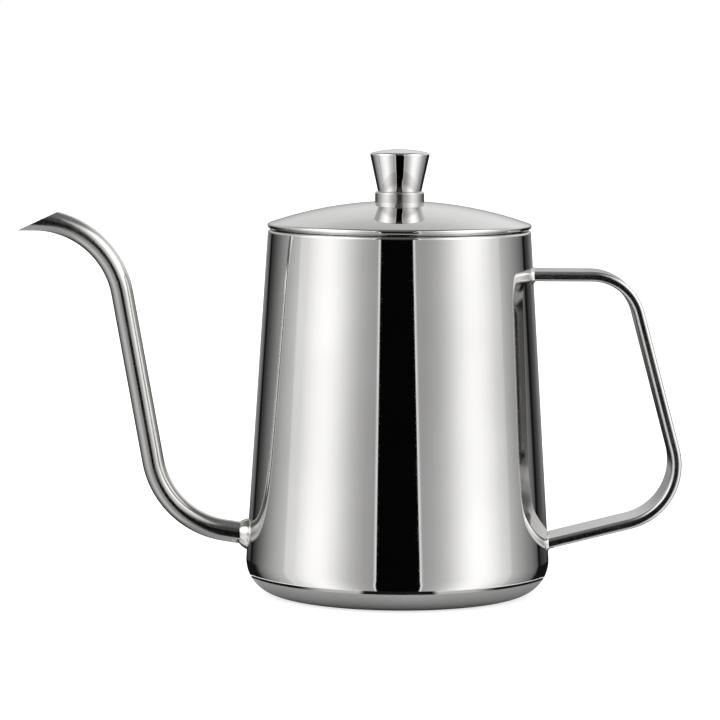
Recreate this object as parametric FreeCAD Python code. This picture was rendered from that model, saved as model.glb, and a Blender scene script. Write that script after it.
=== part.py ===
import FreeCAD, Part
import math
import os

# A stainless steel pour-over kettle with a gooseneck spout, as separate pieces, in millimetres.
# The origin is on the body's axis, on the surface that the kettle stands on. +Z is up, +X points
# to the handle and -X to the spout, and the spout and the handle both lie in the XZ plane.

# Body: a tapered wall with a rounded lower corner and a mouth curled inwards.
BODY_RADIUS = 46.5
MOUTH_RADIUS = 40.2
RIM_HEIGHT = 111.6
CORNER_RADIUS = 10.3
WALL = 0.8
CURL_RADIUS = 1.1
CURL_LEG = 0.5
FOOT_INNER_RADIUS = 33.0

# Base plate: a disc in the foot ring, with its middle raised off the table.
PLATE_THICKNESS = 0.8
PANEL_RADIUS = 29.0
PANEL_LIFT = 1.4
PANEL_BEND = 1.0

# Spout: a thin tube with two bends, cut on a slant at its outlet.
SPOUT_RADIUS = 3.38
SPOUT_WALL = 0.5
SPOUT_ROOT = (-44.3, 17.42)
SPOUT_LOWER_CORNER = (-71.77, 21.5)
SPOUT_UPPER_CORNER = (-88.7, 113.95)
SPOUT_END = (-122.0, 113.95)
SPOUT_LOWER_BEND = 26.4
SPOUT_UPPER_BEND = 27.2
OUTLET_PEAK = (-104.4, 116.45)
OUTLET_TIP = (-116.8, 110.57)
PORT_CLEARANCE = 0.05
BEAD_RADIUS = 4.8
BEAD_LENGTH = 2.1
BEAD_SHOULDER = (1.15, 4.15)

# Handle: a bent strip with rounded edges, welded to the wall at both ends.
HANDLE_WIDTH = 18.0
HANDLE_THICKNESS = 3.2
HANDLE_EDGE_RADIUS = 1.2
HANDLE_TOP_CORNER = (70.0, 98.0)
HANDLE_LOW_CORNER = (89.1, 27.0)
HANDLE_TOP_BEND = 15.0
HANDLE_LOW_BEND = 18.5
HANDLE_ROOT_X = 36.0
HANDLE_LOW_SLOPE = 14.1
HANDLE_WELD = 1.0
HANDLE_WELD_BEVEL = 0.8

# Lid: a shallow dome of sheet, with its edge folded under, and a plain ring that locates it.
DOME_RADIUS = 121.0
DOME_TOP = 120.3
LID_RADIUS = 40.35
LID_SHEET = 0.7
HEM_RADIUS = 0.85
HEM_LEG = 1.2
SEAT_RADIUS = 7.5
SKIRT_RADIUS = 37.7
SKIRT_SHEET = 0.6
SKIRT_BOTTOM = 104.3
SKIRT_FLANGE = 4.2
SKIRT_GAP = 0.2

# Knob: a turned cone on a collar, held by a screw with two washers from inside the lid.
COLLAR_RADIUS = 7.55
COLLAR_TOP = 123.25
COLLAR_EDGE = 0.75
KNOB_FOOT_RADIUS = 6.68
KNOB_RADIUS = 9.25
KNOB_TOP = 136.1
KNOB_CROWN_RADIUS = 36.0
KNOB_EDGE = 0.8
SCREW_RADIUS = 2.0
SCREW_END = 130.2
SCREW_HEAD_RADIUS = 3.8
SCREW_HEAD_HEIGHT = 2.4
SCREW_HEAD_EDGE = 1.1
RECESS_LENGTH = 4.2
RECESS_WIDTH = 0.9
RECESS_DEPTH = 1.4
HOLE_CLEARANCE = 0.15
THREAD_CLEARANCE = 0.02
BLIND_DEPTH = 0.8
WASHER_RADIUS = 5.0
WASHER_THICKNESS = 0.8
SPRING_WASHER_RADIUS = 3.6
SPRING_WASHER_THICKNESS = 1.0
SPRING_WASHER_SPLIT = 0.7

Z_AXIS = FreeCAD.Vector(0, 0, 1)
Y_AXIS = FreeCAD.Vector(0, 1, 0)
ORIGIN = FreeCAD.Vector(0, 0, 0)


# Drawing in the XZ plane

def at(x, z):
    """The point (x, z) of the XZ plane."""
    return FreeCAD.Vector(x, 0, z)


def heading(degrees):
    """The unit vector of the XZ plane at this angle from +X towards +Z."""
    return at(math.cos(math.radians(degrees)), math.sin(math.radians(degrees)))


def line(first, last):
    return Part.LineSegment(first, last).toShape()


def arc(centre, radius, start, end):
    """An arc about a centre, between two angles in degrees from +X towards +Z."""
    angles = (start, (start + end) / 2, end)
    return Part.Arc(*(centre + heading(angle) * radius for angle in angles)).toShape()


def rounded_path(corners, radii):
    """Edges along the corners, with each inner corner rounded to its own radius."""
    edges = []
    start = corners[0]
    for before, corner, after, radius in zip(corners, corners[1:], corners[2:], radii):
        back = (before - corner).normalize()
        ahead = (after - corner).normalize()
        half_angle = back.getAngle(ahead) / 2
        reach = radius / math.tan(half_angle)
        inwards = (back + ahead).normalize()
        middle = corner + inwards * (radius / math.sin(half_angle) - radius)
        edges.append(line(start, corner + back * reach))
        edges.append(Part.Arc(corner + back * reach, middle, corner + ahead * reach).toShape())
        start = corner + ahead * reach
    edges.append(line(start, corners[-1]))
    return edges


def turned(edges):
    """The solid that a closed outline in the XZ plane makes as it turns about the Z axis.

    Its faces start and end at the back, clear of the spout and the handle.
    """
    outline = Part.Wire(Part.__sortEdges__(edges))
    return Part.Face(outline).revolve(ORIGIN, Z_AXIS, 360).rotated(ORIGIN, Z_AXIS, 90)


def polygon_edges(points):
    """Straight edges round a closed outline."""
    return [line(first, last) for first, last in zip(points, points[1:] + points[:1])]


# Body

def corner_centre():
    """Centre of the rounded lower corner."""
    return at(BODY_RADIUS - CORNER_RADIUS, CORNER_RADIUS)


def curl_centre():
    """Centre of the curl that the wall ends in at the mouth."""
    return at(MOUTH_RADIUS - CURL_RADIUS, RIM_HEIGHT - CURL_RADIUS)


def wall_tilt():
    """Angle of the wall's outward normal above the horizontal, in degrees.

    The wall is the straight line that touches the lower corner's circle and the curl's circle.
    """
    between = curl_centre() - corner_centre()
    lean = math.degrees(math.asin((CORNER_RADIUS - CURL_RADIUS) / between.Length))
    return math.degrees(math.atan2(between.z, between.x)) - 90 + lean


def wall_edges(inset, top_angle):
    """The wall's line, lower corner and curl, at a depth inside its outer face."""
    tilt = wall_tilt()
    corner_radius = CORNER_RADIUS - inset
    curl_radius = CURL_RADIUS - inset
    low = corner_centre() + heading(tilt) * corner_radius
    high = curl_centre() + heading(tilt) * curl_radius
    corner = arc(corner_centre(), corner_radius, -90, tilt)
    curl = arc(curl_centre(), curl_radius, tilt, top_angle)
    return [corner, line(low, high), curl]


def body_envelope():
    """The whole space inside the body's outer face, used to trim what is welded to it."""
    foot_edge = at(BODY_RADIUS - CORNER_RADIUS, 0)
    top = at(MOUTH_RADIUS - CURL_RADIUS, RIM_HEIGHT)
    closing = [line(at(0, 0), foot_edge), line(top, at(0, RIM_HEIGHT)), line(at(0, RIM_HEIGHT), at(0, 0))]
    return turned(wall_edges(0, 90) + closing)


def body_shell():
    """The wall, with its foot ring, curled mouth and the port that the spout's tube goes through."""
    corner_x = corner_centre().x
    outer_leg = at(MOUTH_RADIUS - 2 * CURL_RADIUS, curl_centre().z)
    inner_leg = outer_leg + at(WALL, 0)
    drop = at(0, -CURL_LEG)
    leg = [
        line(outer_leg, outer_leg + drop),
        line(outer_leg + drop, inner_leg + drop),
        line(inner_leg + drop, inner_leg),
    ]
    foot = [
        line(at(corner_x, 0), at(FOOT_INNER_RADIUS, 0)),
        line(at(FOOT_INNER_RADIUS, 0), at(FOOT_INNER_RADIUS, WALL)),
        line(at(FOOT_INNER_RADIUS, WALL), at(corner_x, WALL)),
    ]
    shell = turned(wall_edges(0, 180) + leg + wall_edges(WALL, 180) + foot)
    return shell.cut(spout_root_cylinder(SPOUT_RADIUS + PORT_CLEARANCE))


def base_plate():
    """The disc in the foot ring, with a stepped-up middle panel."""
    def jog(rise):
        corners = [
            at(FOOT_INNER_RADIUS, rise),
            at(PANEL_RADIUS + PANEL_LIFT, rise),
            at(PANEL_RADIUS, rise + PANEL_LIFT),
            at(0, rise + PANEL_LIFT),
        ]
        return rounded_path(corners, [PANEL_BEND, PANEL_BEND])

    rim = line(at(FOOT_INNER_RADIUS, 0), at(FOOT_INNER_RADIUS, PLATE_THICKNESS))
    axis = line(at(0, PANEL_LIFT), at(0, PANEL_LIFT + PLATE_THICKNESS))
    return turned(jog(0) + jog(PLATE_THICKNESS) + [rim, axis])


# Spout

def spout_axis():
    """Unit vector along the spout's first straight run, away from the body."""
    return (at(*SPOUT_LOWER_CORNER) - at(*SPOUT_ROOT)).normalize()


def spout_root_cylinder(radius):
    """A cylinder along the first run of the spout, from inside the body outwards."""
    return Part.makeCylinder(radius, BEAD_LENGTH * 3, at(*SPOUT_ROOT), spout_axis())


def spout_route():
    """Centreline of the spout: root, lower bend, straight leg, upper bend and level end."""
    places = (SPOUT_ROOT, SPOUT_LOWER_CORNER, SPOUT_UPPER_CORNER, SPOUT_END)
    corners = [at(*place) for place in places]
    return Part.Wire(rounded_path(corners, [SPOUT_LOWER_BEND, SPOUT_UPPER_BEND]))


def round_pipe(route, radius):
    """A solid rod of this radius along the spout's route."""
    ring = Part.Circle(at(*SPOUT_ROOT), spout_axis(), radius).toShape()
    return route.makePipeShell([Part.Wire(ring)], True, True)


def beyond_outlet():
    """A block that holds everything past the slanted plane of the outlet."""
    tip = at(*OUTLET_TIP)
    slope = (at(*OUTLET_PEAK) - tip).normalize()
    outwards = heading(90 + math.degrees(math.atan2(slope.z, slope.x)))
    size = 40.0
    corners = [tip - slope * size, tip + slope * size, tip + slope * size + outwards * size]
    corners.append(tip - slope * size + outwards * size)
    face = Part.Face(Part.Wire(polygon_edges(corners)))
    return face.extrude(Y_AXIS * size).translated(Y_AXIS * (-size / 2))


def spout_tube():
    route = spout_route()
    tube = round_pipe(route, SPOUT_RADIUS).cut(round_pipe(route, SPOUT_RADIUS - SPOUT_WALL))
    return tube.cut(beyond_outlet())


def spout_weld_bead():
    """The ring of weld metal between the tube and the wall."""
    axis = spout_axis()
    side = axis.cross(Y_AXIS)
    wall_point = at(-BODY_RADIUS, 0)
    face_x = at(*SPOUT_ROOT) + axis * ((wall_point.x - at(*SPOUT_ROOT).x) / axis.x)

    def bead_point(along, radius):
        return face_x + axis * along + side * radius

    inside = bead_point(-BEAD_LENGTH, BEAD_RADIUS)
    start = bead_point(0, BEAD_RADIUS)
    end = bead_point(BEAD_LENGTH, SPOUT_RADIUS)
    base = bead_point(-BEAD_LENGTH, SPOUT_RADIUS)
    crown = Part.Arc(start, bead_point(*BEAD_SHOULDER), end).toShape()
    outline = Part.Wire([line(inside, start), crown, line(end, base), line(base, inside)])
    ring = Part.Face(outline).revolve(face_x, axis, 360)
    return ring.cut(body_envelope())


# Handle

def rounded_rectangle(centre, across, up, width, height, radius):
    """A closed wire round a rectangle with rounded corners, in the plane of across and up."""
    inner_half_width = width / 2 - radius
    inner_half_height = height / 2 - radius
    edges = []
    quarter_turns = [(across, up), (up, across * -1), (across * -1, up * -1), (up * -1, across)]
    arcs = []
    for first, last in quarter_turns:
        middle_point = (
            centre
            + across * inner_half_width * round((first + last).dot(across))
            + up * inner_half_height * round((first + last).dot(up))
        )
        halfway = (first + last).normalize()
        points = [middle_point + direction * radius for direction in (first, halfway, last)]
        arcs.append(points)
        edges.append(Part.Arc(*points).toShape())
    for points, following in zip(arcs, arcs[1:] + arcs[:1]):
        edges.append(line(points[-1], following[0]))
    return Part.Wire(Part.__sortEdges__(edges))


def handle_corners():
    """Corners of the strip's centreline, from inside the wall at the top to inside it below."""
    top = at(*HANDLE_TOP_CORNER)
    low = at(*HANDLE_LOW_CORNER)
    low_root = low - at(1, math.tan(math.radians(HANDLE_LOW_SLOPE))) * (low.x - HANDLE_ROOT_X)
    return [at(HANDLE_ROOT_X, top.z), top, low, low_root]


def handle_bar(width, thickness, radius):
    """The handle's whole bar with this section, before its ends are fitted to the wall."""
    corners = handle_corners()
    route = Part.Wire(rounded_path(corners, [HANDLE_TOP_BEND, HANDLE_LOW_BEND]))
    section = rounded_rectangle(corners[0], Y_AXIS, Z_AXIS, width, thickness, radius)
    return route.makePipeShell([section], True, True)


def handle_strip():
    bar = handle_bar(HANDLE_WIDTH, HANDLE_THICKNESS, HANDLE_EDGE_RADIUS)
    return bar.cut(body_envelope())


def handle_weld(corner, direction):
    """A fillet of weld metal round one end of the strip.

    It is the part of a wider strip that lies within the weld's height of the wall.
    """
    up = direction.cross(Y_AXIS)
    start = corner
    length = BODY_RADIUS
    grown = 2 * HANDLE_WELD
    wide = rounded_rectangle(
        start, Y_AXIS, up, HANDLE_WIDTH + grown, HANDLE_THICKNESS + grown, HANDLE_EDGE_RADIUS + HANDLE_WELD
    )
    slim = rounded_rectangle(start, Y_AXIS, up, HANDLE_WIDTH, HANDLE_THICKNESS, HANDLE_EDGE_RADIUS)
    block = Part.Face(wide).extrude(direction * length)
    strip = Part.Face(slim).extrude(direction * length)
    near_wall = body_envelope().makeOffsetShape(HANDLE_WELD, 0.001)
    frame = block.common(near_wall).cut(body_envelope())
    return bevelled(frame).cut(strip)


def bevelled(slab):
    """The weld's slab with its outer corner bevelled, all round the strip."""
    outer_face = max(slab.Faces, key=lambda face: body_distance(face))
    return slab.makeChamfer(HANDLE_WELD_BEVEL, outer_face.Edges)


def body_distance(face):
    """How far this face's middle stands from the body's axis."""
    middle = face.CenterOfMass
    return math.hypot(middle.x, middle.y)


def handle_upper_weld():
    corners = handle_corners()
    return handle_weld(corners[0], (corners[1] - corners[0]).normalize())


def handle_lower_weld():
    corners = handle_corners()
    return handle_weld(corners[3], (corners[2] - corners[3]).normalize())


# Lid

def dome_centre():
    return at(0, DOME_TOP - DOME_RADIUS)


def dome_height(radius, depth=0.0):
    """Height of the dome's face at this radius, at a depth below its outer face."""
    return dome_centre().z + math.sqrt((DOME_RADIUS - depth) ** 2 - radius**2)


def hem_centre():
    """Centre of the folded edge's nose, which touches the dome's outer face from inside."""
    x = LID_RADIUS - HEM_RADIUS
    return at(x, dome_height(x, HEM_RADIUS))


def dome_arc(depth, inner_radius, outer_radius):
    """The dome's line between two radii, at a depth below its outer face."""
    radius = DOME_RADIUS - depth
    start = math.degrees(math.acos(outer_radius / radius))
    end = math.degrees(math.acos(inner_radius / radius))
    return arc(dome_centre(), radius, start, end)


def seat_height():
    """Height of the flat in the dome's middle that the knob's collar sits on."""
    return dome_height(SEAT_RADIUS)


def seat_underside():
    return seat_height() - LID_SHEET


def lid_dome():
    """The dome with its flat seat, its screw hole and its edge folded under."""
    hole = SCREW_RADIUS + HOLE_CLEARANCE
    nose = hem_centre()
    nose_angle = math.degrees(math.atan2(nose.z - dome_centre().z, nose.x))
    touch = nose.x / (DOME_RADIUS - HEM_RADIUS)
    fold_radius = HEM_RADIUS - LID_SHEET
    under_radius = DOME_RADIUS - LID_SHEET
    under_seat = math.sqrt(under_radius**2 - (seat_underside() - dome_centre().z) ** 2)
    leg_end = nose.x - HEM_LEG
    edges = [
        line(at(hole, seat_height()), at(SEAT_RADIUS, seat_height())),
        dome_arc(0, SEAT_RADIUS, touch * DOME_RADIUS),
        arc(nose, HEM_RADIUS, nose_angle, -90),
        line(nose - at(0, HEM_RADIUS), at(leg_end, nose.z - HEM_RADIUS)),
        line(at(leg_end, nose.z - HEM_RADIUS), at(leg_end, nose.z - fold_radius)),
        line(at(leg_end, nose.z - fold_radius), nose - at(0, fold_radius)),
        arc(nose, fold_radius, nose_angle, -90),
        dome_arc(LID_SHEET, under_seat, touch * under_radius),
        line(at(under_seat, seat_underside()), at(hole, seat_underside())),
        line(at(hole, seat_underside()), at(hole, seat_height())),
    ]
    return turned(edges)


def lid_skirt():
    """The ring inside the mouth, with a flange under the dome and a rounded lower edge."""
    inner = SKIRT_RADIUS - SKIRT_SHEET
    flange = SKIRT_RADIUS - SKIRT_FLANGE
    top = LID_SHEET + SKIRT_GAP
    bottom = top + SKIRT_SHEET
    edge_radius = SKIRT_SHEET / 2
    edges = [
        dome_arc(top, flange, SKIRT_RADIUS),
        line(at(flange, dome_height(flange, top)), at(flange, dome_height(flange, bottom))),
        dome_arc(bottom, flange, inner),
        line(at(inner, dome_height(inner, bottom)), at(inner, SKIRT_BOTTOM + edge_radius)),
        arc(at(inner + edge_radius, SKIRT_BOTTOM + edge_radius), edge_radius, 180, 360),
        line(at(SKIRT_RADIUS, SKIRT_BOTTOM + edge_radius), at(SKIRT_RADIUS, dome_height(SKIRT_RADIUS, top))),
    ]
    return turned(edges)


# Knob

def knob_collar():
    """The ring between the dome and the knob, with a rounded upper edge."""
    hole = SCREW_RADIUS + HOLE_CLEARANCE
    shoulder = at(COLLAR_RADIUS - COLLAR_EDGE, COLLAR_TOP - COLLAR_EDGE)
    edges = [
        line(at(hole, seat_height()), at(COLLAR_RADIUS, seat_height())),
        line(at(COLLAR_RADIUS, seat_height()), at(COLLAR_RADIUS, shoulder.z)),
        arc(shoulder, COLLAR_EDGE, 0, 90),
        line(at(shoulder.x, COLLAR_TOP), at(hole, COLLAR_TOP)),
        line(at(hole, COLLAR_TOP), at(hole, seat_height())),
    ]
    return turned(edges)


def knob_head():
    """The turned cone, with a crowned top and a blind hole for the screw."""
    hole = SCREW_RADIUS + THREAD_CLEARANCE
    hole_top = SCREW_END + BLIND_DEPTH
    crown_centre = at(0, KNOB_TOP - KNOB_CROWN_RADIUS)
    crown_start = math.degrees(math.acos(KNOB_RADIUS / KNOB_CROWN_RADIUS))
    rim = crown_centre + heading(crown_start) * KNOB_CROWN_RADIUS
    foot = at(KNOB_FOOT_RADIUS, COLLAR_TOP)
    edges = [
        line(foot, rim),
        arc(crown_centre, KNOB_CROWN_RADIUS, crown_start, 90),
        line(at(0, KNOB_TOP), at(0, hole_top)),
        line(at(0, hole_top), at(hole, hole_top)),
        line(at(hole, hole_top), at(hole, COLLAR_TOP)),
        line(at(hole, COLLAR_TOP), foot),
    ]
    cone = turned(edges)
    rim_edges = [edge for edge in cone.Edges if is_circle_at(edge, rim)]
    return cone.makeFillet(KNOB_EDGE, rim_edges)


def is_circle_at(edge, point):
    """Whether this edge is the circle about the Z axis through this point of the XZ plane."""
    on_level = abs(edge.BoundBox.ZMin - point.z) + abs(edge.BoundBox.ZMax - point.z) < 0.01
    return on_level and abs(edge.Length - 2 * math.pi * point.x) < 0.01


def washer(outer_radius, top, thickness):
    """A flat ring round the screw, with its upper face at this height."""
    low = at(0, top - thickness)
    ring = Part.makeCylinder(outer_radius, thickness, low)
    return ring.cut(Part.makeCylinder(SCREW_RADIUS + HOLE_CLEARANCE, thickness, low))


def knob_washer():
    return washer(WASHER_RADIUS, seat_underside(), WASHER_THICKNESS)


def spring_washer_top():
    return seat_underside() - WASHER_THICKNESS


def screw_head_top():
    return spring_washer_top() - SPRING_WASHER_THICKNESS


def knob_spring_washer():
    """A split ring between the flat washer and the screw's head."""
    ring = washer(SPRING_WASHER_RADIUS, spring_washer_top(), SPRING_WASHER_THICKNESS)
    slit_corner = FreeCAD.Vector(0, -SPRING_WASHER_SPLIT / 2, screw_head_top())
    slit = Part.makeBox(SPRING_WASHER_RADIUS, SPRING_WASHER_SPLIT, SPRING_WASHER_THICKNESS, slit_corner)
    return ring.cut(slit)


def knob_screw():
    """A pan-head machine screw, head down, with a cross recess."""
    top = screw_head_top()
    bottom = top - SCREW_HEAD_HEIGHT
    shank = Part.makeCylinder(SCREW_RADIUS, SCREW_END - top, at(0, top))
    head = Part.makeCylinder(SCREW_HEAD_RADIUS, SCREW_HEAD_HEIGHT, at(0, bottom))
    lower_edges = [edge for edge in head.Edges if edge.BoundBox.ZMax < bottom + RECESS_DEPTH / 2]
    screw = head.makeFillet(SCREW_HEAD_EDGE, lower_edges).fuse(shank)
    for length, width in ((RECESS_LENGTH, RECESS_WIDTH), (RECESS_WIDTH, RECESS_LENGTH)):
        corner = FreeCAD.Vector(-length / 2, -width / 2, bottom)
        screw = screw.cut(Part.makeBox(length, width, RECESS_DEPTH, corner))
    return screw


PIECES = [
    body_shell,
    base_plate,
    spout_tube,
    spout_weld_bead,
    handle_strip,
    handle_upper_weld,
    handle_lower_weld,
    lid_dome,
    lid_skirt,
    knob_head,
    knob_collar,
    knob_washer,
    knob_spring_washer,
    knob_screw,
]


def main():
    os.makedirs("parts", exist_ok=True)
    for piece in PIECES:
        shape = piece()
        shape.exportStep("parts/" + piece.__name__ + ".step")
        box = shape.BoundBox
        print(
            piece.__name__, "solids", len(shape.Solids), "valid", shape.isValid(),
            "volume", round(shape.Volume, 1),
            "x", round(box.XMin, 2), round(box.XMax, 2),
            "y", round(box.YMin, 2), round(box.YMax, 2),
            "z", round(box.ZMin, 2), round(box.ZMax, 2),
        )


main()
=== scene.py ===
import math

import bpy
from mathutils import Matrix, Quaternion, Vector, noise


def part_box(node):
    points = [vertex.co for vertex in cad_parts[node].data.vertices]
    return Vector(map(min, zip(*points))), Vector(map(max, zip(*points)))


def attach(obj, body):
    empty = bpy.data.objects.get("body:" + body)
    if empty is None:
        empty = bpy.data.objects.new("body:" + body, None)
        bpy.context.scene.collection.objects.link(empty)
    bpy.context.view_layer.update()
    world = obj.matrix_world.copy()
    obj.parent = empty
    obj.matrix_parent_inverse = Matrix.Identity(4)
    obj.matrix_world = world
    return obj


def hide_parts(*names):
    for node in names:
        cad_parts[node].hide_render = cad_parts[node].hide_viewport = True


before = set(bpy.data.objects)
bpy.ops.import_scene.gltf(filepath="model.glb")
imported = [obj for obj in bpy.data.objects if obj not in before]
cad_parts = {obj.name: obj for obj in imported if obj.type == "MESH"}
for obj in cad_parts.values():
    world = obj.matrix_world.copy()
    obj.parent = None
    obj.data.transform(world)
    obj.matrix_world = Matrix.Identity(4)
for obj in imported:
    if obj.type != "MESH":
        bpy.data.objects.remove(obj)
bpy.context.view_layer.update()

MM = 0.001

# Each polished piece is rebuilt here as a fine mesh with exact normals, because a mirror finish
# shows every facet. These sizes are the CAD pieces' own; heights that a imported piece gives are
# read from the frame.
SHELL_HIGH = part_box("body_shell")[1]
HANDLE_LOW, HANDLE_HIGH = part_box("handle_strip")
COLLAR_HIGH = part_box("knob_collar")[1]
KNOB_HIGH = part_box("knob_head")[1]

# Body
BODY_RADIUS = 46.5 * MM
MOUTH_RADIUS = 40.2 * MM
RIM_HEIGHT = SHELL_HIGH.z
CORNER_RADIUS = 10.3 * MM
WALL = 0.8 * MM
CURL_RADIUS = 1.1 * MM
CURL_LEG = 0.5 * MM
FOOT_INNER_RADIUS = 33.0 * MM

# Spout
SPOUT_RADIUS = 3.38 * MM
SPOUT_WALL = 0.5 * MM
SPOUT_ROOT = (-44.3, 17.42)
SPOUT_LOWER_CORNER = (-71.77, 21.5)
SPOUT_UPPER_CORNER = (-88.7, 113.95)
SPOUT_LOWER_BEND = 26.4 * MM
SPOUT_UPPER_BEND = 27.2 * MM
OUTLET_PEAK = (-104.4, 116.45)
OUTLET_TIP = (-116.8, 110.57)
LIP_ROUND = 0.1 * MM
BEAD_WIDTH = 1.5 * MM
BEAD_HEIGHT = 2.5 * MM
BEAD_FULLNESS = 1.7

# Handle
HANDLE_WIDTH = HANDLE_HIGH.y - HANDLE_LOW.y
HANDLE_THICKNESS = 3.2 * MM
HANDLE_EDGE_RADIUS = 1.2 * MM
HANDLE_ROOT_X = 36.0
HANDLE_TOP_CORNER = (70.0, 98.0)
HANDLE_LOW_CORNER = (89.1, 27.0)
HANDLE_TOP_BEND = 15.0 * MM
HANDLE_LOW_BEND = 18.5 * MM
HANDLE_LOW_SLOPE = 14.1
HANDLE_WELD = 0.9 * MM
HANDLE_WELD_FULLNESS = 2.4
END_OVERLAP = 0.4 * MM

# Lid and knob
DOME_RADIUS = 121.0 * MM
DOME_TOP = 120.3 * MM
LID_RADIUS = 40.35 * MM
LID_SHEET = 0.7 * MM
HEM_RADIUS = 0.85 * MM
HEM_LEG = 1.2 * MM
SEAT_RADIUS = 7.5 * MM
SCREW_HOLE_RADIUS = 2.15 * MM
COLLAR_RADIUS = COLLAR_HIGH.x
COLLAR_TOP = COLLAR_HIGH.z
COLLAR_EDGE = 0.75 * MM
KNOB_FOOT_RADIUS = 6.68 * MM
KNOB_RADIUS = 9.25 * MM
KNOB_TOP = KNOB_HIGH.z
KNOB_CROWN_RADIUS = 36.0 * MM
KNOB_EDGE = 0.8 * MM
KNOB_BORE_RADIUS = 2.02 * MM
KNOB_BORE_TOP = 131.0 * MM

# Camera and studio
CAMERA_PLACE = Vector((-11.82, -1070.0, 168.0)) * MM
CAMERA_TARGET = Vector((-11.82, 0.0, 71.5)) * MM
CAMERA_ROLL = 0.0055
LENS = 175.4
SENSOR = 36.0
FLOOR_RADIUS = 6.0
# Discs seen only in reflections: a mat of painted shade, a ring of painted contact shadow and a
# ring of painted glint.
SHADE_MAT_RADIUS = 49.5 * MM
CONTACT_SHADOW_RADIUS = 52.4 * MM
GLINT_RING_RADIUS = 53.2 * MM

# Meshing
Y_AXIS = Vector((0, 1, 0))
TURN_STEPS = 288
KNOB_STEPS = 160
TUBE_STEPS = 72
SPOUT_END_STEPS = 48
LIP_STEPS = 6
BEAD_STEPS = 16
BEAD_SINK = 0.3 * MM
SAMPLE_STRIDE = 9
MERGE_DISTANCE = 1e-8


# Drawing in the XZ plane. A span is a list of (point, normal) pairs along a smooth line, and
# its outer side is on the right of the way that it runs.

def at(x, z):
    return Vector((x, 0, z))


def at_mm(pair):
    return Vector((pair[0], 0, pair[1])) * MM


def heading(degrees):
    """The unit vector of the XZ plane at this angle from +X towards +Z."""
    return at(math.cos(math.radians(degrees)), math.sin(math.radians(degrees)))


def angle_of(vector):
    return math.degrees(math.atan2(vector.z, vector.x))


def right_of(direction):
    return at(direction.z, -direction.x)


def straight(first, last, steps=1):
    normal = right_of((last - first).normalized())
    return [(first.lerp(last, i / steps), normal) for i in range(steps + 1)]


def bend(centre, radius, start, end, steps=8):
    """A round span between two angles; it faces away from its centre where the angle grows."""
    side = 1 if end > start else -1
    span = []
    for i in range(steps + 1):
        out = heading(start + (end - start) * i / steps)
        span.append((centre + out * radius, out * side))
    return span


# Meshes from rings of points

def ring_mesh(name, spans, materials, span_materials=None, smooth_normals=False):
    """A closed mesh object from spans of rings; a ring is a list of (point, normal) pairs.

    Faces keep the rings' own normals, unless smooth_normals asks for those of the mesh. The
    Grain map runs round the rings and along the spans, in metres.
    """
    points, faces, normals, uvs, indices = [], [], [], [], []
    known = {}

    def index_of(point):
        key = tuple(round(c / MERGE_DISTANCE) for c in point)
        if key not in known:
            known[key] = len(points)
            points.append(point)
        return known[key]

    along = 0.0
    for span, material in zip(spans, span_materials or [0] * len(spans)):
        columns = len(span[0])
        for lower, upper in zip(span, span[1:]):
            sampled = range(0, columns, SAMPLE_STRIDE)
            step = sum((upper[j][0] - lower[j][0]).length for j in sampled) / len(sampled)
            girth = max(perimeter(lower), perimeter(upper))
            for j in range(columns):
                k = (j + 1) % columns
                corners = [
                    (lower[j], j, along),
                    (lower[k], j + 1, along),
                    (upper[k], j + 1, along + step),
                    (upper[j], j, along + step),
                ]
                face = []
                for (point, normal), column, height in corners:
                    index = index_of(point)
                    if index not in [entry[0] for entry in face]:
                        face.append((index, normal, (girth * column / columns, height)))
                if len(face) > 2:
                    faces.append([entry[0] for entry in face])
                    normals.extend(entry[1] for entry in face)
                    uvs.extend(entry[2] for entry in face)
                    indices.append(material)
            along += step

    mesh = bpy.data.meshes.new(name)
    mesh.from_pydata(points, [], faces)
    mesh.polygons.foreach_set("use_smooth", [True] * len(faces))
    mesh.polygons.foreach_set("material_index", indices)
    grain = mesh.uv_layers.new(name="Grain")
    grain.data.foreach_set("uv", [c for uv in uvs for c in uv])
    if not smooth_normals:
        mesh.normals_split_custom_set(normals)
    for material in materials:
        mesh.materials.append(material)
    return linked(name, mesh)


def linked(name, data):
    """A new object with this data, in the scene."""
    piece = bpy.data.objects.new(name, data)
    bpy.context.scene.collection.objects.link(piece)
    return piece


def perimeter(ring):
    """Rough length round a ring, from a few of its points."""
    some = [entry[0] for entry in ring[::SAMPLE_STRIDE]]
    return sum((a - b).length for a, b in zip(some, some[1:] + some[:1]))


def turned(name, outline, materials, span_materials=None, steps=TURN_STEPS):
    """A mesh from an outline that turns about the Z axis, with its seam at the back."""
    turns = [Quaternion((0, 0, 1), math.pi / 2 + 2 * math.pi * j / steps) for j in range(steps)]
    matrices = [turn.to_matrix() for turn in turns]
    spans = []
    for span in outline:
        spans.append([[(m @ point, m @ normal) for m in matrices] for point, normal in span])
    return ring_mesh(name, spans, materials, span_materials)


# Body

CORNER_CENTRE = at(BODY_RADIUS - CORNER_RADIUS, CORNER_RADIUS)
CURL_CENTRE = at(MOUTH_RADIUS - CURL_RADIUS, RIM_HEIGHT - CURL_RADIUS)


def wall_tilt():
    """Angle of the wall's outward normal above the horizontal, in degrees."""
    between = CURL_CENTRE - CORNER_CENTRE
    lean = math.degrees(math.asin((CORNER_RADIUS - CURL_RADIUS) / between.length))
    return angle_of(between) - 90 + lean


WALL_TILT = wall_tilt()
WALL_NORMAL = heading(WALL_TILT)
WALL_OFFSET = (CORNER_CENTRE + WALL_NORMAL * CORNER_RADIUS).dot(WALL_NORMAL)


def wall_gap(point):
    """How far a point stands out from the outer face of the wall; negative inside it."""
    radius = math.hypot(point.x, point.y)
    return radius * WALL_NORMAL.x + point.z * WALL_NORMAL.z - WALL_OFFSET


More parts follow.
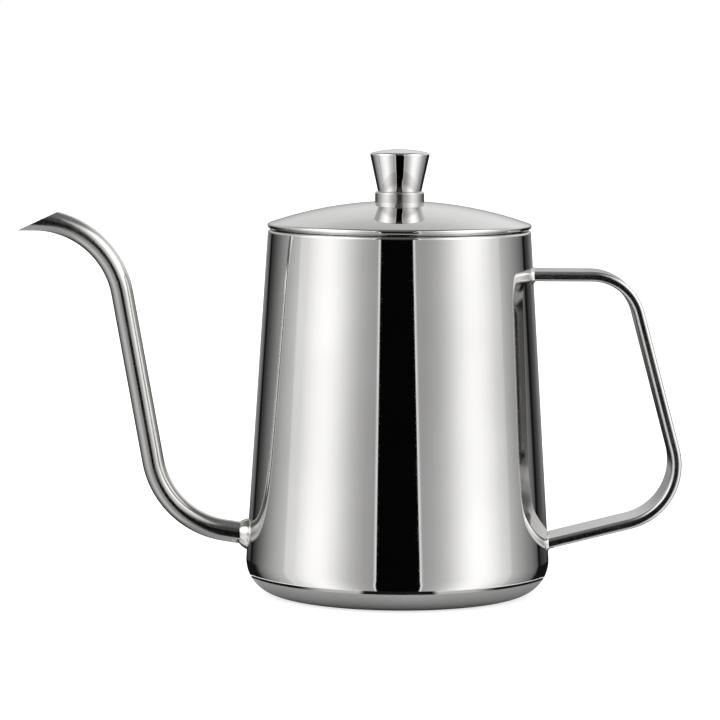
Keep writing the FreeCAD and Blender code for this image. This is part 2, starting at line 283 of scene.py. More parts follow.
def to_wall(start, direction, sunk=0.0):
    """The point where the line from start along direction is this deep in the wall."""
    point = start
    for _ in range(8):
        radius = math.hypot(point.x, point.y)
        outwards = Vector((point.x, point.y, 0)) * (WALL_NORMAL.x / radius)
        outwards.z = WALL_NORMAL.z
        point = point - direction * ((wall_gap(point) + sunk) / direction.dot(outwards))
    return point


def wall_spans(inset, steps):
    """The lower corner, the wall and the curl at the mouth, at a depth inside the outer face."""
    low = CORNER_CENTRE + WALL_NORMAL * (CORNER_RADIUS - inset)
    high = CURL_CENTRE + WALL_NORMAL * (CURL_RADIUS - inset)
    return [
        bend(CORNER_CENTRE, CORNER_RADIUS - inset, -90, WALL_TILT, steps),
        straight(low, high, steps),
        bend(CURL_CENTRE, CURL_RADIUS - inset, WALL_TILT, 180, steps),
    ]


def backwards(spans):
    """The same spans run the other way, so that their other side is the outer one."""
    return [[(point, -normal) for point, normal in reversed(span)] for span in reversed(spans)]


def body_outline():
    outer_leg = at(MOUTH_RADIUS - 2 * CURL_RADIUS, CURL_CENTRE.z)
    inner_leg = outer_leg + at(WALL, 0)
    drop = at(0, -CURL_LEG)
    foot = at(FOOT_INNER_RADIUS, 0)
    rise = at(0, WALL)
    outer = [straight(foot, at(CORNER_CENTRE.x, 0))] + wall_spans(0, 20)
    leg = [
        straight(outer_leg, outer_leg + drop),
        straight(outer_leg + drop, inner_leg + drop),
        straight(inner_leg + drop, inner_leg),
    ]
    inner = backwards(wall_spans(WALL, 14))
    floor = [straight(at(CORNER_CENTRE.x, WALL), foot + rise), straight(foot + rise, foot)]
    return outer + leg + inner + floor, [0] * 7 + [1] * 5


# Lid and knob

DOME_CENTRE = at(0, DOME_TOP - DOME_RADIUS)


def dome_height(radius, depth=0.0):
    return DOME_CENTRE.z + math.sqrt((DOME_RADIUS - depth) ** 2 - radius**2)


def dome_angle(radius, depth=0.0):
    return math.degrees(math.acos(radius / (DOME_RADIUS - depth)))


def dome_outline():
    """The dome with its flat seat, its screw hole and its edge folded under."""
    nose_x = LID_RADIUS - HEM_RADIUS
    nose = at(nose_x, dome_height(nose_x, HEM_RADIUS))
    nose_angle = angle_of(nose - DOME_CENTRE)
    seat = dome_height(SEAT_RADIUS)
    under = seat - LID_SHEET
    under_radius = DOME_RADIUS - LID_SHEET
    under_seat = math.sqrt(under_radius**2 - (under - DOME_CENTRE.z) ** 2)
    fold = HEM_RADIUS - LID_SHEET
    leg_x = nose.x - HEM_LEG
    hole = SCREW_HOLE_RADIUS
    return [
        bend(nose, HEM_RADIUS, -90, nose_angle, 14),
        bend(DOME_CENTRE, DOME_RADIUS, nose_angle, dome_angle(SEAT_RADIUS), 24),
        straight(at(SEAT_RADIUS, seat), at(hole, seat)),
        straight(at(hole, seat), at(hole, under)),
        straight(at(hole, under), at(under_seat, under)),
        bend(DOME_CENTRE, under_radius, dome_angle(under_seat, LID_SHEET), nose_angle, 16),
        bend(nose, fold, nose_angle, -90, 8),
        straight(nose - at(0, fold), at(leg_x, nose.z - fold)),
        straight(at(leg_x, nose.z - fold), at(leg_x, nose.z - HEM_RADIUS)),
        straight(at(leg_x, nose.z - HEM_RADIUS), nose - at(0, HEM_RADIUS)),
    ]


def collar_outline():
    hole = SCREW_HOLE_RADIUS
    seat = dome_height(SEAT_RADIUS)
    shoulder = at(COLLAR_RADIUS - COLLAR_EDGE, COLLAR_TOP - COLLAR_EDGE)
    return [
        straight(at(hole, seat), at(COLLAR_RADIUS, seat)),
        straight(at(COLLAR_RADIUS, seat), at(COLLAR_RADIUS, shoulder.z), 4),
        bend(shoulder, COLLAR_EDGE, 0, 90, 10),
        straight(at(shoulder.x, COLLAR_TOP), at(hole, COLLAR_TOP)),
        straight(at(hole, COLLAR_TOP), at(hole, seat)),
    ]


def knob_outline():
    """The cone and its crowned top, with the rim between them rounded."""
    crown_centre = at(0, KNOB_TOP - KNOB_CROWN_RADIUS)
    foot = at(KNOB_FOOT_RADIUS, COLLAR_TOP)
    rim_angle = math.degrees(math.acos(KNOB_RADIUS / KNOB_CROWN_RADIUS))
    side = (crown_centre + heading(rim_angle) * KNOB_CROWN_RADIUS - foot).normalized()
    # The rounding's centre is KNOB_EDGE inside the cone and the crown.
    inner_foot = foot - right_of(side) * KNOB_EDGE
    offset = inner_foot - crown_centre
    half = offset.dot(side)
    gap = offset.length_squared - (KNOB_CROWN_RADIUS - KNOB_EDGE) ** 2
    edge_centre = inner_foot + side * (math.sqrt(half**2 - gap) - half)
    crown_start = angle_of(edge_centre - crown_centre)
    cone_end = edge_centre + right_of(side) * KNOB_EDGE
    bore_top = at(KNOB_BORE_RADIUS, KNOB_BORE_TOP)
    bore_foot = at(KNOB_BORE_RADIUS, COLLAR_TOP)
    return [
        straight(bore_foot, foot),
        straight(foot, cone_end, 12),
        bend(edge_centre, KNOB_EDGE, angle_of(right_of(side)), crown_start, 12),
        bend(crown_centre, KNOB_CROWN_RADIUS, crown_start, 90, 14),
        straight(at(0, KNOB_BORE_TOP), bore_top),
        straight(bore_top, bore_foot),
    ]


# Swept pieces. A frame is a point of the centreline and the direction of the way there. A
# section's points are given towards the right of the way and towards +Y.

def section_ring(centre, direction, section):
    """The section's points and normals, placed across the way at one frame."""
    right = right_of(direction)
    ring = []
    for across, side, across_normal, side_normal in section:
        point = centre + right * across + Y_AXIS * side
        ring.append((point, right * across_normal + Y_AXIS * side_normal))
    return ring


def circle_section(radius, steps=TUBE_STEPS):
    section = []
    for j in range(steps):
        turn = 2 * math.pi * j / steps
        normal = (math.cos(turn), math.sin(turn))
        section.append((radius * normal[0], radius * normal[1], *normal))
    return section


def dense(section, spacing):
    """The section with points added until no gap is longer than the spacing."""
    filled = []
    for first, last in zip(section, section[1:] + section[:1]):
        count = max(1, math.ceil(math.hypot(last[0] - first[0], last[1] - first[1]) / spacing))
        for j in range(count):
            filled.append(tuple(a + (b - a) * j / count for a, b in zip(first, last)))
    return filled


def strip_section(thickness, width, radius, steps=8):
    """A rectangle with rounded corners, and a few points along each flat side."""
    section = []
    for quarter in range(4):
        middle = math.radians(90 * quarter + 45)
        across = math.copysign(thickness / 2 - radius, math.cos(middle))
        side = math.copysign(width / 2 - radius, math.sin(middle))
        for j in range(steps + 1):
            turn = math.radians(90 * (quarter + j / steps))
            normal = (math.cos(turn), math.sin(turn))
            section.append((across + radius * normal[0], side + radius * normal[1], *normal))
    return dense(section, 0.9 * MM)


def rounded_route(corners, radii, steps):
    """Frames along the corners, with each inner corner rounded to its own radius."""
    frames = [(corners[0], (corners[1] - corners[0]).normalized())]
    for before, corner, after, radius in zip(corners, corners[1:], corners[2:], radii):
        first = (corner - before).normalized()
        last = (after - corner).normalized()
        turn = math.atan2(first.x * last.z - first.z * last.x, first.dot(last))
        side = math.copysign(1, turn)
        reach = radius * math.tan(abs(turn) / 2)
        start = corner - first * reach
        centre = start - right_of(first) * (radius * side)
        for i in range(steps + 1):
            direction = heading(angle_of(first) + math.degrees(turn) * i / steps)
            frames.append((centre + right_of(direction) * (radius * side), direction))
    frames.append((corners[-1], (corners[-1] - corners[-2]).normalized()))
    return frames


def spout_axis():
    """The direction of the spout's first run, away from the body."""
    return (at_mm(SPOUT_LOWER_CORNER) - at_mm(SPOUT_ROOT)).normalized()


def upper_bend():
    """The angle of the straight leg, the angle it turns by and the bend's centre."""
    lower, upper = at_mm(SPOUT_LOWER_CORNER), at_mm(SPOUT_UPPER_CORNER)
    leg_angle = angle_of(upper - lower)
    turn = math.radians(180 - leg_angle)
    reach = SPOUT_UPPER_BEND * math.tan(turn / 2)
    return leg_angle, turn, upper - at(reach, SPOUT_UPPER_BEND)


def end_frame(travel):
    """The centreline's point and direction at this length past the start of the upper bend."""
    leg_angle, turn, centre = upper_bend()
    bent = min(travel / SPOUT_UPPER_BEND, turn)
    direction = heading(leg_angle + math.degrees(bent))
    level_run = travel - bent * SPOUT_UPPER_BEND
    return centre + right_of(direction) * SPOUT_UPPER_BEND - at(level_run, 0), direction


def outlet_normal():
    slope = (at_mm(OUTLET_PEAK) - at_mm(OUTLET_TIP)).normalized()
    return -right_of(slope)


def travel_to_outlet(line):
    """How far one long line of the tube runs past the start of the upper bend."""
    normal = outlet_normal()
    edge = at_mm(OUTLET_TIP) - normal * LIP_ROUND
    low, high = 0.0, 80 * MM
    for _ in range(36):
        middle = (low + high) / 2
        point = section_ring(*end_frame(middle), [line])[0][0]
        if (point - edge).dot(normal) > 0:
            high = middle
        else:
            low = middle
    return low


def spout_skin(radius):
    """Rings along the tube at this radius, from its root to the slanted outlet."""
    section = circle_section(radius)
    corners = [at_mm(SPOUT_ROOT), at_mm(SPOUT_LOWER_CORNER), end_frame(0)[0]]
    lower_run = rounded_route(corners, [SPOUT_LOWER_BEND], 28)
    rings = [section_ring(*where, section) for where in lower_run]
    travels = [travel_to_outlet(line) for line in section]
    for i in range(1, SPOUT_END_STEPS + 1):
        ring = []
        for line, travel in zip(section, travels):
            ring.extend(section_ring(*end_frame(travel * i / SPOUT_END_STEPS), [line]))
        rings.append(ring)
    return rings


def spout_tube(materials):
    """The tube's outside, its narrow rounded lip, its bore and its root, as one closed mesh."""
    outer = spout_skin(SPOUT_RADIUS)
    inner = [[(p, -n) for p, n in ring] for ring in spout_skin(SPOUT_RADIUS - SPOUT_WALL)]
    inner.reverse()
    lip = []
    for i in range(LIP_STEPS + 1):
        turn = math.pi * i / LIP_STEPS
        rise = outlet_normal() * math.sin(turn)
        ring = []
        for (out_point, _), (in_point, _) in zip(outer[-1], inner[0]):
            half = (out_point - in_point) / 2
            point = in_point + half + half * math.cos(turn) + rise * LIP_ROUND
            normal = half.normalized() * math.cos(turn) + rise
            ring.append((point, normal.normalized()))
        lip.append(ring)
    root = [[(p, -spout_axis()) for p, _ in ring] for ring in (inner[-1], outer[0])]
    return ring_mesh("spout_tube_skin", [outer, lip, inner, root], materials, [0, 0, 1, 1])


def handle_corners():
    """The ends and corners of the handle's centreline, from the upper root to the lower one."""
    top = at_mm(HANDLE_TOP_CORNER)
    low = at_mm(HANDLE_LOW_CORNER)
    run = low.x - HANDLE_ROOT_X * MM
    low_root = low - at(run, run * math.tan(math.radians(HANDLE_LOW_SLOPE)))
    return [at(HANDLE_ROOT_X * MM, top.z), top, low, low_root]


def handle_strip(materials):
    """The bent strip, with each end cut to the wall's curve and closed by a flat fan."""
    section = strip_section(HANDLE_THICKNESS, HANDLE_WIDTH, HANDLE_EDGE_RADIUS)
    frames = rounded_route(handle_corners(), [HANDLE_TOP_BEND, HANDLE_LOW_BEND], 32)
    rings = [section_ring(*where, section) for where in frames]
    ends = []
    for index in (0, -1):
        direction = frames[index][1]
        rings[index] = [(to_wall(p, direction, END_OVERLAP), n) for p, n in rings[index]]
        facing = direction if index else -direction
        middle = to_wall(frames[index][0], direction, END_OVERLAP)
        ends.append([[(middle, facing)] * len(section), [(p, facing) for p, _ in rings[index]]])
    spans = [ends[0], rings, list(reversed(ends[1]))]
    return ring_mesh("handle_strip_skin", spans, materials)


def weld_bead(name, section, centre, direction, width, height, fullness, pitch, materials):
    """A ring of weld metal on the wall round a bar with this section.

    It hugs the curved wall, and has the ripples and small lumps of a bead laid by hand. Its
    profile is a quarter round at a fullness of 1, straight at 2 and hollow above that.
    """
    ring_in = section_ring(centre, direction, section)
    rows = []
    for i in range(BEAD_STEPS + 1):
        turn = math.pi / 2 * i / BEAD_STEPS
        reach = width * max(0.0, math.cos(turn)) ** fullness
        lift = height * math.sin(turn) ** fullness
        row = []
        travelled = 0.0
        previous = ring_in[-1][0]
        for point, normal in ring_in:
            travelled += (point - previous).length
            previous = point
            lump = noise.noise(point * 420 + Vector((i * 0.02, 0, 0)))
            ripple = math.sin(2 * math.pi * travelled / pitch + 1.5 * noise.noise(point * 300))
            swell = 1 + 0.22 * lump + 0.04 * ripple * math.sin(2 * turn)
            foot = to_wall(point + normal * (reach * swell), direction)
            row.append((foot + direction * (lift * swell), normal))
        rows.append(row)
    # The bead's underside runs inside the wall and inside the bar, out of sight.
    sink = direction * BEAD_SINK
    under = [(to_wall(p - n * (0.35 * MM), direction) - sink, n) for p, n in ring_in]
    outer_foot = [(p - sink, n) for p, n in rows[0]]
    top = [(p - n * BEAD_SINK, n) for p, n in rows[-1]]
    loop = [outer_foot, *rows, top, under, outer_foot]
    return ring_mesh(name, [loop], materials, smooth_normals=True)


# Node materials

TURNING_DRIFT = 0.0015
HAIRLINE_DEPTH = 0.0000002


def node_finish(name):
    """A new material and its emptied node tree."""
    material = bpy.data.materials.new(name)
    material.use_nodes = True
    material.node_tree.nodes.clear()
    return material, material.node_tree


def principled(tree, inputs):
    """A Principled shader with these inputs, as the tree's surface."""
    shader = add(tree, "ShaderNodeBsdfPrincipled", inputs)
    output = add(tree, "ShaderNodeOutputMaterial")
    tree.links.new(shader.outputs["BSDF"], output.inputs["Surface"])


def add(tree, kind, inputs=None, **settings):
    """A node with these settings; an input that is a socket is linked, and a number is set."""
    node = tree.nodes.new(kind)
    for key, value in settings.items():
        setattr(node, key, value)
    for key, value in (inputs or {}).items():
        if isinstance(value, bpy.types.NodeSocket):
            tree.links.new(value, node.inputs[key])
        else:
            node.inputs[key].default_value = value
    return node


def calc(tree, operation, first, second=0.0, third=0.0):
    inputs = {0: first, 1: second, 2: third}
    return add(tree, "ShaderNodeMath", inputs, operation=operation).outputs[0]


def remap(tree, value, low, high, to_low=0.0, to_high=1.0, kind="SMOOTHSTEP"):
    """The value carried from one range over to another, and held past the ends."""
    inputs = {
        "Value": value, "From Min": low, "From Max": high, "To Min": to_low, "To Max": to_high,
    }
    return add(tree, "ShaderNodeMapRange", inputs, interpolation_type=kind).outputs["Result"]


def blend_values(tree, amount, first, second):
    """The first value where amount is 0, and the second where it is 1."""
    step = calc(tree, "SUBTRACT", second, first)
    return calc(tree, "MULTIPLY_ADD", step, amount, first)


def noise_of(tree, vector, scale, detail=2.0, roughness=0.5):
    inputs = {"Vector": vector, "Scale": scale, "Detail": detail, "Roughness": roughness}
    return add(tree, "ShaderNodeTexNoise", inputs).outputs["Fac"]


def stretched(tree, vector, stretch, turn=0.0):
    inputs = {"Vector": vector, "Scale": stretch, "Rotation": (0, 0, turn)}
    return add(tree, "ShaderNodeMapping", inputs).outputs["Vector"]


def parts_of(tree, vector):
    parts = add(tree, "ShaderNodeSeparateXYZ", {"Vector": vector}).outputs
    return parts["X"], parts["Y"], parts["Z"]


def azimuth_of(tree, vector):
    """Degrees round the Z axis from the side that faces -Y, growing towards +X."""
    x, y, _ = parts_of(tree, vector)
    front = calc(tree, "MULTIPLY", y, -1.0)
    return calc(tree, "DEGREES", calc(tree, "ARCTAN2", x, front))


def grain_coordinates(tree):
    """Round and along a rebuilt piece, in metres."""
    return add(tree, "ShaderNodeUVMap", uv_map="Grain").outputs["UV"]


def turning_coordinates(tree):
    """Distance from the Z axis, and height, for marks that run in rings round that axis."""
    x, y, z = parts_of(tree, add(tree, "ShaderNodeTexCoord").outputs["Object"])
    squares = calc(tree, "ADD", calc(tree, "MULTIPLY", x, x), calc(tree, "MULTIPLY", y, y))
    radius = calc(tree, "SQRT", squares)
    turn = calc(tree, "MULTIPLY", calc(tree, "ARCTAN2", y, x), TURNING_DRIFT)
    return add(tree, "ShaderNodeCombineXYZ", {"X": radius, "Y": turn, "Z": z}).outputs["Vector"]


def scratches(tree, grain, turn, width, length, rarity):
    """Sparse fine lines in one direction: 1 on a line and 0 between them."""
    field = noise_of(tree, stretched(tree, grain, (1 / length, 1 / width, 1), turn), 1.0, 1.0)
    return remap(tree, field, rarity, rarity + 0.04)


def steel(
    name, dark, light, smooth, rough, wave=0.0, grain=None, grain_kind="uv",
    grain_depth=0.0, grain_rough=0.0, scratch=0.03, side_shade=1.0,
):
    """A stainless finish: smudges, hairline scratches, slight waviness and a directional grain.

    smooth and rough are the roughness of clean and of smudged metal. wave is the height of the
    slight waves that pressing leaves in the sheet, and grain the stretch of its drawn, brushed
    or turned lines. The last value paints shade and light by facing: it is the share of the tone
    left on the side that faces -X, away from the body, and the side facing +X is painted up to
    1.35 times lighter.
    """
    material, tree = node_finish(name)
    place = add(tree, "ShaderNodeTexCoord").outputs["Object"]
    lines_on = grain_coordinates(tree) if grain_kind == "uv" else turning_coordinates(tree)

    smudge = noise_of(tree, place, 70.0, 5.0, 0.6)
    patch = noise_of(tree, place, 22.0, 2.0)
    fine = noise_of(tree, place, 900.0, 3.0, 0.6)
    hairlines = calc(
        tree, "MAXIMUM",
        scratches(tree, lines_on, 0.35, 0.00009, 0.006, 0.67),
        scratches(tree, lines_on, -0.9, 0.00007, 0.004, 0.69),
    )

    colour = add(
        tree, "ShaderNodeMix",
        {"Factor": remap(tree, patch, 0.3, 0.7), 6: (*dark, 1), 7: (*light, 1)},
        data_type="RGBA",
    ).outputs[2]
    # Painted shade and light: the colour is darkened on the side whose normal faces -X, away from
    # the body, and lightened on the side that faces +X.
    if side_shade < 1:
        facing_x = parts_of(tree, add(tree, "ShaderNodeNewGeometry").outputs["Normal"])[0]
        scaled = {0: colour, "Scale": remap(tree, facing_x, -0.6, 0.45, side_shade, 1.35)}
        colour = add(tree, "ShaderNodeVectorMath", scaled, operation="SCALE").outputs[0]

    roughness = remap(tree, smudge, 0.42, 0.68, smooth, rough)
    roughness = calc(tree, "MULTIPLY_ADD", hairlines, scratch, roughness)
    speckle = calc(tree, "SUBTRACT", fine, 0.5)
    roughness = calc(tree, "MULTIPLY_ADD", speckle, smooth * 0.8, roughness)

    height = calc(tree, "MULTIPLY", noise_of(tree, place, 24.0, 1.0), wave)
    if grain:
        lines = noise_of(tree, stretched(tree, lines_on, grain), 1.0, 4.0, 0.65)
        height = calc(tree, "MULTIPLY_ADD", lines, grain_depth, height)
        roughness = calc(tree, "MULTIPLY_ADD", lines, grain_rough, roughness)
    height = calc(tree, "MULTIPLY_ADD", hairlines, -HAIRLINE_DEPTH, height)
    bump = add(tree, "ShaderNodeBump", {"Strength": 1.0, "Distance": 1.0, "Height": height})

    principled(tree, {
        "Base Color": colour,
        "Metallic": 1.0,
        "Roughness": roughness,
        "Normal": bump.outputs["Normal"],
    })
    return material


def matt(name, dark, light, glow=0.0, sectors=()):
    """A matt paper-like finish with a faint mottle between two grey tones, and some own light.

    Each sector is (start, end, change): the tone changes by this much between two angles in
    degrees, measured both ways round the table from its front.
    """
    material, tree = node_finish(name)
    place = add(tree, "ShaderNodeTexCoord").outputs["Object"]
    tone = remap(tree, noise_of(tree, place, 6.0, 3.0), 0.3, 0.7, dark, light)
    sideways = calc(tree, "ABSOLUTE", azimuth_of(tree, place))
    for start, end, change in sectors:
        tone = calc(tree, "ADD", tone, remap(tree, sideways, start, end, 0.0, change))
    colour = add(tree, "ShaderNodeCombineColor", {"Red": tone, "Green": tone, "Blue": tone})
    principled(tree, {
        "Base Color": colour.outputs["Color"],
        "Roughness": 0.8,
        "Specular IOR Level": 0.1,
        "Emission Color": (1, 1, 1, 1),
        "Emission Strength": glow,
    })
    return material


STEEL_DARK = (0.60, 0.595, 0.585)
STEEL_LIGHT = (0.66, 0.655, 0.65)

POLISHED_BODY = steel("polished_body", STEEL_DARK, STEEL_LIGHT, 0.015, 0.035, wave=0.000003)
INSIDE = steel(
    "satin_inside", (0.60, 0.595, 0.58), (0.66, 0.655, 0.64), 0.34, 0.40,
    grain=(30, 9000, 1), grain_depth=0.0000006, grain_rough=0.08, scratch=0.02,
)
# The spout's colour carries painted shade on its side that faces away from the body and painted
# light on the other side.
POLISHED_SPOUT = steel(
    "polished_spout", (0.44, 0.435, 0.425), (0.50, 0.495, 0.485), 0.14, 0.20, wave=0.000003,
    grain=(6000, 25, 1), grain_depth=0.0000005, grain_rough=0.06, side_shade=0.62,
)
POLISHED_HANDLE = steel(
    "polished_handle", STEEL_DARK, STEEL_LIGHT, 0.15, 0.21, wave=0.000003,
    grain=(6000, 22, 1), grain_depth=0.0000003, grain_rough=0.03,
)
WELD_METAL = steel(
    "weld_metal", (0.46, 0.455, 0.44), (0.68, 0.675, 0.66), 0.10, 0.22, wave=0.00001,
    grain=(1500, 1500, 1), grain_depth=0.000003, grain_rough=0.06, scratch=0.0,
)
POLISHED_LID = steel(
    "polished_lid", STEEL_DARK, STEEL_LIGHT, 0.02, 0.045, wave=0.000003,
    grain=(2, 6000, 1), grain_depth=0.0000002, grain_rough=0.02,
)
POLISHED_KNOB = steel(
    "polished_knob", STEEL_DARK, STEEL_LIGHT, 0.012, 0.03,
    grain=(2, 8000, 1), grain_depth=0.0000001, grain_rough=0.02,
)
SATIN_COLLAR = steel(
    "satin_collar", (0.50, 0.495, 0.485), (0.56, 0.555, 0.545), 0.17, 0.22,
    grain=(2, 9000, 1), grain_depth=0.0000008, grain_rough=0.08, scratch=0.02,
)
BRUSHED_BASE = steel(
    "brushed_base", (0.55, 0.545, 0.535), (0.61, 0.605, 0.595), 0.17, 0.25, scratch=0.06,
    grain=(7000, 900, 1), grain_kind="turning", grain_depth=0.0000009, grain_rough=0.10,
)
BRUSHED_SKIRT = steel(
    "brushed_skirt", (0.53, 0.525, 0.515), (0.60, 0.595, 0.585), 0.16, 0.23,
    grain=(7000, 900, 7000), grain_kind="turning", grain_depth=0.0000008, grain_rough=0.09,
)
FASTENER_STEEL = steel(
    "fastener_steel", (0.45, 0.445, 0.43), (0.56, 0.55, 0.535), 0.22, 0.34,
    grain=(9000, 900, 9000), grain_kind="turning", grain_depth=0.000001, grain_rough=0.08,
)


# The object

def hand_in(piece, body, slot, *nodes):
    """The piece rides on a body and stands for these CAD nodes, which are hidden. slot is not
    used.
    """
    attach(piece, body)
    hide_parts(*nodes)


body_spans, body_materials = body_outline()
body = turned("body_shell_skin", body_spans, [POLISHED_BODY, INSIDE], body_materials)
hand_in(body, "kettle", "polished_body", "body_shell")

spout = spout_tube([POLISHED_SPOUT, INSIDE])
hand_in(spout, "kettle", "polished_spout", "spout_tube")

handle = handle_strip([POLISHED_HANDLE])
hand_in(handle, "kettle", "polished_handle", "handle_strip")

spout_bead = weld_bead(
    "spout_weld_skin", circle_section(SPOUT_RADIUS, 220), at_mm(SPOUT_ROOT), spout_axis(),
    BEAD_WIDTH, BEAD_HEIGHT, BEAD_FULLNESS, 1.6 * MM, [WELD_METAL],
)
hand_in(spout_bead, "kettle", "weld_metal", "spout_weld_bead")

handle_ends = handle_corners()
strip = dense(strip_section(HANDLE_THICKNESS, HANDLE_WIDTH, HANDLE_EDGE_RADIUS), 0.2 * MM)
for end, following, label in ((0, 1, "upper"), (3, 2, "lower")):
    direction = (handle_ends[following] - handle_ends[end]).normalized()
    bead = weld_bead(
        f"handle_{label}_weld_skin", strip, handle_ends[end], direction,
        HANDLE_WELD, HANDLE_WELD, HANDLE_WELD_FULLNESS, 1.3 * MM, [WELD_METAL],
    )
    hand_in(bead, "kettle", "weld_metal", f"handle_{label}_weld")

dome = turned("lid_dome_skin", dome_outline(), [POLISHED_LID, INSIDE], [0] * 3 + [1] * 5 + [0] * 2)
hand_in(dome, "lid", "polished_lid", "lid_dome")
collar = turned("knob_collar_skin", collar_outline(), [SATIN_COLLAR], steps=KNOB_STEPS)
hand_in(collar, "lid", "satin_collar", "knob_collar")
knob = turned("knob_head_skin", knob_outline(), [POLISHED_KNOB], steps=KNOB_STEPS)
hand_in(knob, "lid", "polished_knob", "knob_head")

CAD_FINISHES = {
    "base_plate": BRUSHED_BASE,
    "lid_skirt": BRUSHED_SKIRT,
    "knob_washer": FASTENER_STEEL,
    "knob_spring_washer": FASTENER_STEEL,
    "knob_screw": FASTENER_STEEL,
}
for node_name, finish in CAD_FINISHES.items():
    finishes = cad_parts[node_name].data.materials
    finishes.clear()
    finishes.append(finish)


# Studio

def disc(name, radius, height, steps=128):
    """A flat disc that faces up, and isn't part of the object."""
    turns = [2 * math.pi * j / steps for j in range(steps)]
    points = [(radius * math.cos(turn), radius * math.sin(turn), height) for turn in turns]
    mesh = bpy.data.meshes.new(name)
    mesh.from_pydata(points, [], [tuple(range(steps))])
    piece = linked(name, mesh)
    return piece


floor = disc("floor", FLOOR_RADIUS, -0.02 * MM)
floor.data.materials.append(matt("floor_finish", 0.34, 0.36, glow=0.72))
floor.visible_glossy = False

# Of the table, the polished metal mirrors only a small grey mat round its foot, which is painted
# shade. Round the mat lie a black ring, a painted contact shadow, and a pale ring, a painted
# glint;
# the black ring is painted pale too where it lies in front of the light panels.
# The first sectors paint light onto the black ring in front of the panels; the second paint a pale
# glint onto the outer ring.
SHADOW_LIGHT_SECTORS = ((14.5, 18, 0.43), (33, 49, -0.43))
GLINT_SECTORS = ((14.5, 18, 0.60), (33, 49, 0.30))
for name, radius, height, dark, light, sectors in (
    # Painted shade: a grey disc, darker than the floor, seen only in reflections.
    ("painted_shade_mat", SHADE_MAT_RADIUS, -0.005 * MM, 0.28, 0.31, ()),
    # Painted contact shadow: a black ring seen only in reflections, painted lighter in front of
    # the light panels.
    ("painted_contact_shadow", CONTACT_SHADOW_RADIUS, -0.01 * MM, 0.002, 0.004, SHADOW_LIGHT_SECTORS),
    # Painted glint: a pale ring just outside the painted contact shadow, seen only in reflections.
    ("painted_glint_ring", GLINT_RING_RADIUS, -0.015 * MM, 0.002, 0.004, GLINT_SECTORS),
):
    mat = disc(name, radius, height)
    mat.data.materials.append(matt(f"{name}_finish", dark, light, sectors=sectors))
    mat.visible_camera = False
    mat.visible_diffuse = False
    mat.visible_shadow = False


PANEL_MIDDLE = 63


def panel_glow(sideways):
    """Brightness of a front panel this many degrees to the side of the front."""
    spread = 24 if sideways < PANEL_MIDDLE else 30
    return 0.45 + 1.1 * math.exp(-(((sideways - PANEL_MIDDLE) / spread) ** 2))


# Brightness by degrees to the side of the front: the panels, which end near 94 degrees, and then
# the darker sides and the back of the studio.
FRONT_TONES = [(0, 0.5)] + [(sideways, panel_glow(sideways)) for sideways in range(20, 92, 6)]
LEFT_TONES = FRONT_TONES + [
    (94.5, 1.00), (96.5, 0.78), (103, 0.67), (110, 0.55), (115, 0.45), (120, 0.36), (126, 0.25),
    (132, 0.16), (138, 0.09), (144, 0.045), (147, 0.01), (150, 0.01), (152, 0.12), (157, 0.21),
    (165, 0.28), (180, 0.40),
]
RIGHT_TONES = FRONT_TONES + [
    (94.5, 0.88), (96.5, 0.70), (103, 0.57), (110, 0.46), (116, 0.36), (122, 0.28), (128, 0.20),
    (133, 0.12), (134.5, 0.01), (138, 0.01), (140, 0.04), (147, 0.08), (150, 0.12), (156, 0.19),
    (165, 0.28), (180, 0.40),
]
TONE_PEAK = 2.0
GAP_HALF_WIDTH = 16.3
DARK_STRIP_TONE = 0.01
TABLE_TONE = 0.62
CEILING_TONE = 0.22


def tone_ramp(tree, sideways, tones):
    """Brightness by the angle to the side of the front, through these tones."""
    ramp = add(tree, "ShaderNodeValToRGB", {"Fac": calc(tree, "DIVIDE", sideways, 180.0)})
    stops = ramp.color_ramp.elements
    while len(stops) < len(tones):
        stops.new(0.5)
    for stop, (degrees, tone) in zip(stops, tones):
        stop.position = degrees / 180
        stop.color = (*[tone / TONE_PEAK] * 3, 1)
    return calc(tree, "MULTIPLY", ramp.outputs["Color"], TONE_PEAK)


def panel_light(tree, azimuth, elevation):
    """Two soft panels with a dark gap between them, at the front and round to the sides."""
    sideways = calc(tree, "ABSOLUTE", azimuth)
    left = tone_ramp(tree, sideways, LEFT_TONES)
    right = tone_ramp(tree, sideways, RIGHT_TONES)
    panels = blend_values(tree, calc(tree, "GREATER_THAN", azimuth, 0.0), left, right)

    # The gap narrows and shifts a little as it rises, and is wider far below and high up.
    rise = remap(tree, elevation, -1.5, 4.0, 0.0, 5.5, "LINEAR")
    offset = calc(tree, "ABSOLUTE", calc(tree, "MULTIPLY_ADD", rise, 0.5, azimuth))
    flare = calc(
        tree, "ADD",
        remap(tree, elevation, -8, -48, 0.0, 3.0, "LINEAR"),
        remap(tree, elevation, 9, 15, 0.0, 6.0),
    )
    edge = calc(tree, "ADD", flare, calc(tree, "MULTIPLY_ADD", rise, -0.45, GAP_HALF_WIDTH))
    beyond = calc(tree, "SUBTRACT", offset, edge)
    gap = remap(tree, beyond, -0.4, 0.4, remap(tree, elevation, 8, 14, 0.002, 0.05), 1.0)

    # The panels have a bright inner edge, and are brighter towards their top.
    glint = remap(tree, beyond, 0.4, 2.6, 0.6, 0.0)
    brow = remap(tree, elevation, 4.5, 10, 1.0, 1.6)
    bright = calc(tree, "ADD", panels, glint)
    return calc(tree, "MULTIPLY", bright, calc(tree, "MULTIPLY", gap, brow))


def backdrop_light(tree, across, elevation):
    """The pale backdrop: darker low down, near the ceiling and towards -X."""
    light = remap(tree, elevation, -4, 20, 0.36, 0.98)
    light = calc(tree, "MULTIPLY", light, remap(tree, across, -0.5, 0.3, 0.74, 1.0))
    return calc(tree, "SUBTRACT", light, remap(tree, elevation, 26, 42, 0.0, 0.24))


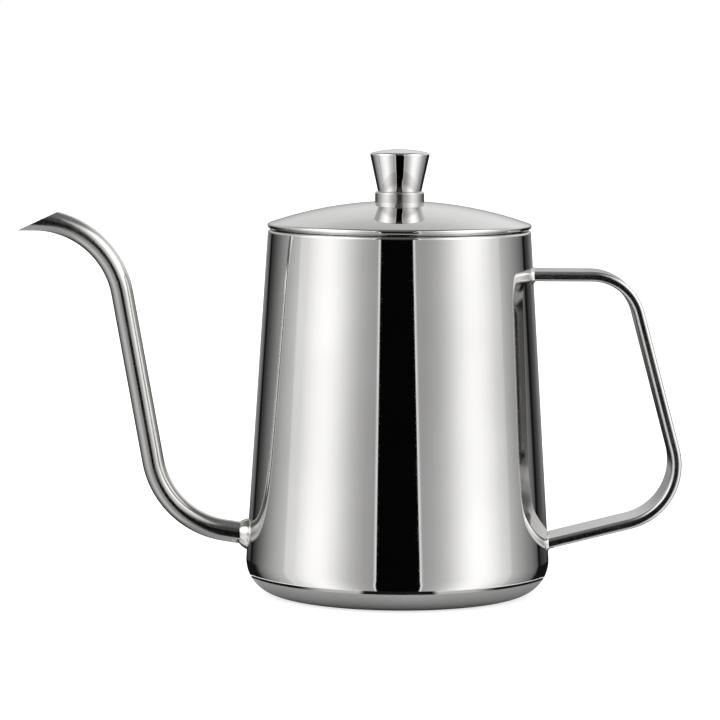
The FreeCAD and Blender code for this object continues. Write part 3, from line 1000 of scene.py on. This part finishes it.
def studio_light(tree, direction):
    """The brightness that polished metal mirrors from this direction."""
    across, _, up = parts_of(tree, direction)
    azimuth = azimuth_of(tree, direction)
    sideways = calc(tree, "ABSOLUTE", azimuth)
    elevation = calc(tree, "DEGREES", calc(tree, "ARCSINE", up))

    panels = panel_light(tree, azimuth, elevation)
    backdrop = backdrop_light(tree, across, elevation)
    rear = calc(tree, "MULTIPLY", remap(tree, elevation, 0, 9), remap(tree, sideways, 95, 130))
    light = blend_values(tree, rear, panels, backdrop)

    # Under the backdrop there is a dark strip. The table is below it, and straight down all round.
    low_rear = remap(tree, elevation, -5.5, -8)
    strip = calc(tree, "MULTIPLY", remap(tree, sideways, 128, 142), low_rear)
    light = blend_values(tree, strip, light, DARK_STRIP_TONE)
    behind = calc(
        tree, "MULTIPLY", remap(tree, sideways, 158, 168), remap(tree, elevation, -14, -24),
    )
    table = calc(tree, "MAXIMUM", behind, remap(tree, elevation, -50, -58))
    light = blend_values(tree, table, light, TABLE_TONE)
    return blend_values(tree, remap(tree, elevation, 45, 60), light, CEILING_TONE)


def studio_world():
    """The studio as the metal mirrors it, in front of a white background for the camera."""
    world = bpy.data.worlds.new("studio")
    world.use_nodes = True
    tree = world.node_tree
    tree.nodes.clear()
    light = studio_light(tree, add(tree, "ShaderNodeTexCoord").outputs["Generated"])
    seen = add(tree, "ShaderNodeLightPath").outputs["Is Camera Ray"]
    strength = blend_values(tree, seen, light, 1.0)
    inputs = {"Color": (1, 1, 1, 1), "Strength": strength}
    shader = add(tree, "ShaderNodeBackground", inputs)
    output = add(tree, "ShaderNodeOutputWorld")
    tree.links.new(shader.outputs["Background"], output.inputs["Surface"])
    return world


bpy.context.scene.world = studio_world()

overhead_data = bpy.data.lights.new("overhead", "SUN")
overhead_data.energy = 4.6
overhead_data.angle = math.radians(150)
overhead = linked("overhead", overhead_data)
overhead.visible_glossy = False

camera_data = bpy.data.cameras.new("camera")
camera_data.lens = LENS
camera_data.sensor_width = SENSOR
camera_data.clip_end = 50
camera = linked("camera", camera_data)
aim = (CAMERA_TARGET - CAMERA_PLACE).to_track_quat("-Z", "Y").to_matrix().to_4x4()
camera.matrix_world = Matrix.Translation(CAMERA_PLACE) @ aim @ Matrix.Rotation(CAMERA_ROLL, 4, "Z")
bpy.context.scene.camera = camera
bpy.context.scene.view_settings.view_transform = "Standard"
